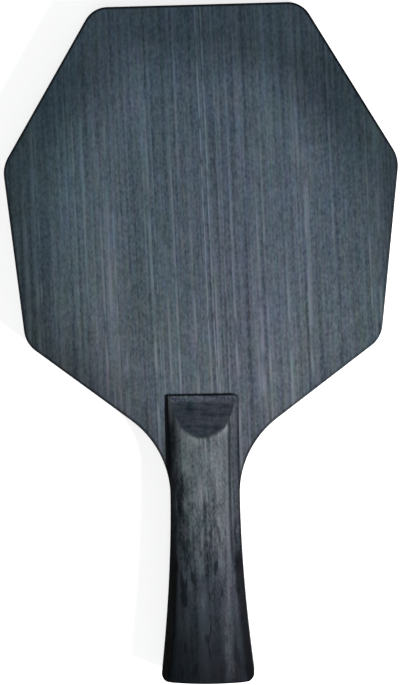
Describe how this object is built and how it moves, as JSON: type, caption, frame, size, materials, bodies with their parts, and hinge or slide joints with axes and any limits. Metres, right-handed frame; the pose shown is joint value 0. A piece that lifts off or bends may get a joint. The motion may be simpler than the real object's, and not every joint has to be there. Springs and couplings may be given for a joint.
{
  "type": "table tennis blade",
  "caption": "Flat laminated table tennis blade with a straight-edged, round-cornered head and a flared wooden handle whose scales start on a slant.",
  "frame": {"origin": "on the surface that the back handle scale's crest touches, below the middle of the outline", "axes": "+X across the head, +Y from the butt to the top of the head, +Z out of the front face"},
  "size_m": [0.15, 0.257, 0.0248],
  "materials": {
    "face_veneer": "open-grained veneer stained slate blue-grey, satin",
    "handle_wood": "wood stained charcoal to black, sanded, satin, darker towards the butt and on the cut end grain",
    "medial_wood": "plain veneer, seen only at its edge, which is stained near black",
    "core_wood": "plain light wood, seen only at its edge, which is stained charcoal",
    "carbon_cloth": "thin black carbon fibre ply in resin, seen only at the edge"
  },
  "bodies": {
    "root": {"core_ply": "core_wood", "front_carbon_ply": "carbon_cloth", "back_carbon_ply": "carbon_cloth", "front_medial_ply": "medial_wood", "back_medial_ply": "medial_wood", "front_face_ply": "face_veneer", "back_face_ply": "face_veneer", "front_handle_scale": "handle_wood", "back_handle_scale": "handle_wood"}
  },
  "joints": []
}
